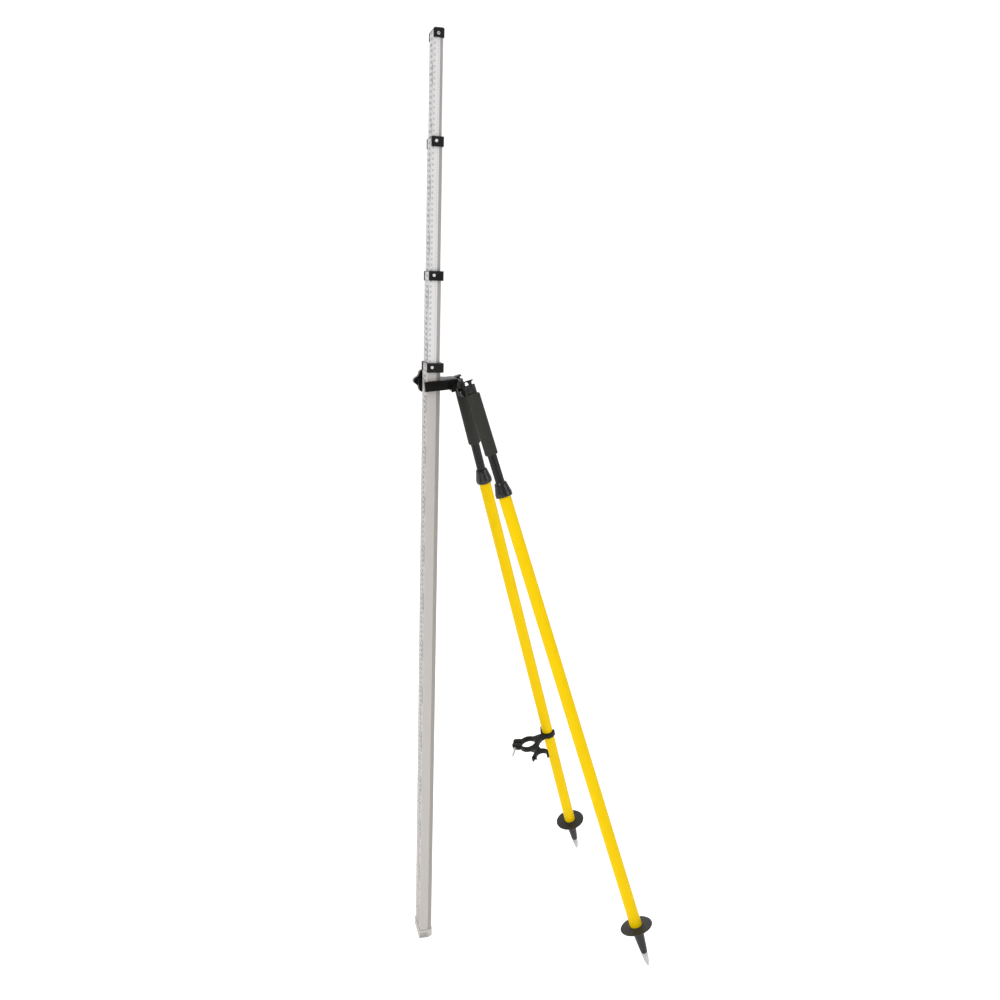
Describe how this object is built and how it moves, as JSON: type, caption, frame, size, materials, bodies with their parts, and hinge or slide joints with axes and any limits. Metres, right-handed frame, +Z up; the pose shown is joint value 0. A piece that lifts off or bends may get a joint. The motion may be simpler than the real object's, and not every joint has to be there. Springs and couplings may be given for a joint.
{
  "type": "telescopic levelling rod with bipod",
  "caption": "Telescopic aluminium levelling rod held upright by a rod clamp with a two-leg thumb-release bipod",
  "frame": {"origin": "middle of the underside of the rod's foot shoe, on the ground plane", "axes": "+Z up along the rod, -Y the way the graduated front face looks, +Y towards the two legs, +X the side with the lock buttons"},
  "size_m": [0.5089, 0.468, 1.829],
  "materials": {
    "rod_metal": "anodised, drawn, satin",
    "shoe_plastic": "moulded, light grey",
    "black_plastic": "moulded, fine grain",
    "button_metal": "bright turned",
    "clamp_black": "gloss black paint over die casting",
    "knob_plastic": "moulded, smooth",
    "head_plastic": "moulded, smooth",
    "foot_yellow": "powder coat, semi-gloss",
    "foot_plastic": "moulded, fine grain",
    "bolt_black": "black oxide",
    "tube_black": "hard black anodising",
    "grip_foam": "closed-cell foam rubber",
    "pad_rubber": "moulded rubber",
    "inner_plastic": "natural nylon",
    "steel": "zinc plated",
    "spring_steel": "bright spring steel",
    "tip_steel": "hardened, bright ground"
  },
  "bodies": {
    "rod": {"rod_section_1": "rod_metal", "base_shoe": "shoe_plastic", "collar_1": "black_plastic", "button_spring_1": "spring_steel"},
    "section_2": {"rod_section_2": "rod_metal", "end_guide_2": "inner_plastic", "section_catch_2": "spring_steel", "collar_2": "black_plastic", "button_spring_2": "spring_steel"},
    "section_3": {"rod_section_3": "rod_metal", "end_guide_3": "inner_plastic", "section_catch_3": "spring_steel", "collar_3": "black_plastic", "button_spring_3": "spring_steel"},
    "section_4": {"rod_section_4": "rod_metal", "end_guide_4": "inner_plastic", "section_catch_4": "spring_steel", "top_cap": "black_plastic", "cap_rivets": "steel"},
    "lock_1": {"lock_button_1": "button_metal"},
    "lock_2": {"lock_button_2": "button_metal"},
    "lock_3": {"lock_button_3": "button_metal"},
    "clamp": {"clamp_body": "clamp_black", "hinge_bolt": "bolt_black", "hinge_nut": "bolt_black", "hinge_washers": "steel"},
    "jaw": {"clamp_pad": "pad_rubber"},
    "knob": {"clamp_knob": "knob_plastic", "clamp_screw": "steel"},
    "clip": {"leg_clip": "black_plastic", "clip_nut": "steel"},
    "clip_bolt": {"clip_screw": "steel"},
    "swivel_right": {"swivel_block_right": "clamp_black", "pivot_bolt_right": "bolt_black"},
    "leg_right": {"leg_head_right": "head_plastic", "inner_tube_right": "tube_black", "grip_right": "grip_foam", "thumb_spring_right": "spring_steel", "lock_collet_right": "inner_plastic"},
    "lower_right": {"outer_tube_right": "foot_yellow", "guide_cap_right": "head_plastic", "foot_right": "foot_plastic", "steel_point_right": "tip_steel"},
    "thumb_right": {"thumb_button_right": "head_plastic", "release_rod_right": "steel"},
    "swivel_left": {"swivel_block_left": "clamp_black", "pivot_bolt_left": "bolt_black"},
    "leg_left": {"leg_head_left": "head_plastic", "inner_tube_left": "tube_black", "grip_left": "grip_foam", "thumb_spring_left": "spring_steel", "lock_collet_left": "inner_plastic"},
    "lower_left": {"outer_tube_left": "foot_yellow", "guide_cap_left": "head_plastic", "foot_left": "foot_plastic", "steel_point_left": "tip_steel"},
    "thumb_left": {"thumb_button_left": "head_plastic", "release_rod_left": "steel"}
  },
  "joints": [
    {"name": "section_2_slide", "type": "slide", "parent": "rod", "child": "section_2", "axis": [0, 0, 1], "range_m": [-0.1535, 0.86]},
    {"name": "section_3_slide", "type": "slide", "parent": "section_2", "child": "section_3", "axis": [0, 0, 1], "range_m": [-0.2225, 0.691]},
    {"name": "section_4_slide", "type": "slide", "parent": "section_3", "child": "section_4", "axis": [0, 0, 1], "range_m": [-0.1695, 0.644]},
    {"name": "lock_1_press", "type": "slide", "parent": "rod", "child": "lock_1", "axis": [-1, 0, 0], "range_m": [0, 0.001], "stiffness_N_per_m": 800, "springref_m": -0.0005},
    {"name": "lock_2_press", "type": "slide", "parent": "section_2", "child": "lock_2", "axis": [-1, 0, 0], "range_m": [0, 0.001], "stiffness_N_per_m": 800, "springref_m": -0.0005},
    {"name": "lock_3_press", "type": "slide", "parent": "section_3", "child": "lock_3", "axis": [-1, 0, 0], "range_m": [0, 0.001], "stiffness_N_per_m": 800, "springref_m": -0.0005},
    {"name": "clamp_slide", "type": "slide", "parent": "rod", "child": "clamp", "axis": [0, 0, 1], "range_m": [-1.1, 0.01]},
    {"name": "knob_turn", "type": "hinge", "parent": "jaw", "child": "knob", "pos_m": [-0.06, -0.004, 1.188], "axis": [-1, 0, 0], "range_deg": [0, 840]},
    {"name": "jaw_slide", "type": "slide", "parent": "clamp", "child": "jaw", "axis": [-1, 0, 0], "range_m": [0, 0.0035]},
    {"name": "lean_right", "type": "hinge", "parent": "clamp", "child": "swivel_right", "pos_m": [0, 0.05, 1.189], "axis": [1, 0, 0], "range_deg": [-17.3, 30]},
    {"name": "spread_right", "type": "hinge", "parent": "swivel_right", "child": "leg_right", "pos_m": [0.055, 0.06863, 1.17962], "axis": [0, -0.9548, -0.2974], "range_deg": [-7.5, 16.5]},
    {"name": "leg_length_right", "type": "slide", "parent": "leg_right", "child": "lower_right", "axis": [0.1305, 0.2948, -0.9466], "range_m": [-0.055, 0.7]},
    {"name": "thumb_press_right", "type": "slide", "parent": "leg_right", "child": "thumb_right", "axis": [0.1305, 0.2948, -0.9466], "range_m": [0, 0.003], "stiffness_N_per_m": 1500, "springref_m": -0.002},
    {"name": "lean_left", "type": "hinge", "parent": "clamp", "child": "swivel_left", "pos_m": [0, 0.05, 1.189], "axis": [1, 0, 0], "range_deg": [-17.3, 30]},
    {"name": "spread_left", "type": "hinge", "parent": "swivel_left", "child": "leg_left", "pos_m": [-0.055, 0.06863, 1.17962], "axis": [0, 0.9548, 0.2974], "range_deg": [-9, 15]},
    {"name": "leg_length_left", "type": "slide", "parent": "leg_left", "child": "lower_left", "axis": [-0.1564, 0.2937, -0.943], "range_m": [-0.055, 0.7]},
    {"name": "thumb_press_left", "type": "slide", "parent": "leg_left", "child": "thumb_left", "axis": [-0.1564, 0.2937, -0.943], "range_m": [0, 0.003], "stiffness_N_per_m": 1500, "springref_m": -0.002},
    {"name": "clip_turn", "type": "hinge", "parent": "lower_left", "child": "clip", "pos_m": [-0.19326, 0.32823, 0.34615], "axis": [0.1564, -0.2937, 0.943], "continuous": true},
    {"name": "clip_screw_turn", "type": "hinge", "parent": "clip", "child": "clip_bolt", "pos_m": [-0.19306, 0.25126, 0.32215], "axis": [-0.8588, 0.4311, 0.2768], "range_deg": [0, 720]}
  ],
  "couplings": [
    {"joint": "jaw_slide", "follows": "knob_turn", "m_per_rad": 0.00023873}
  ]
}
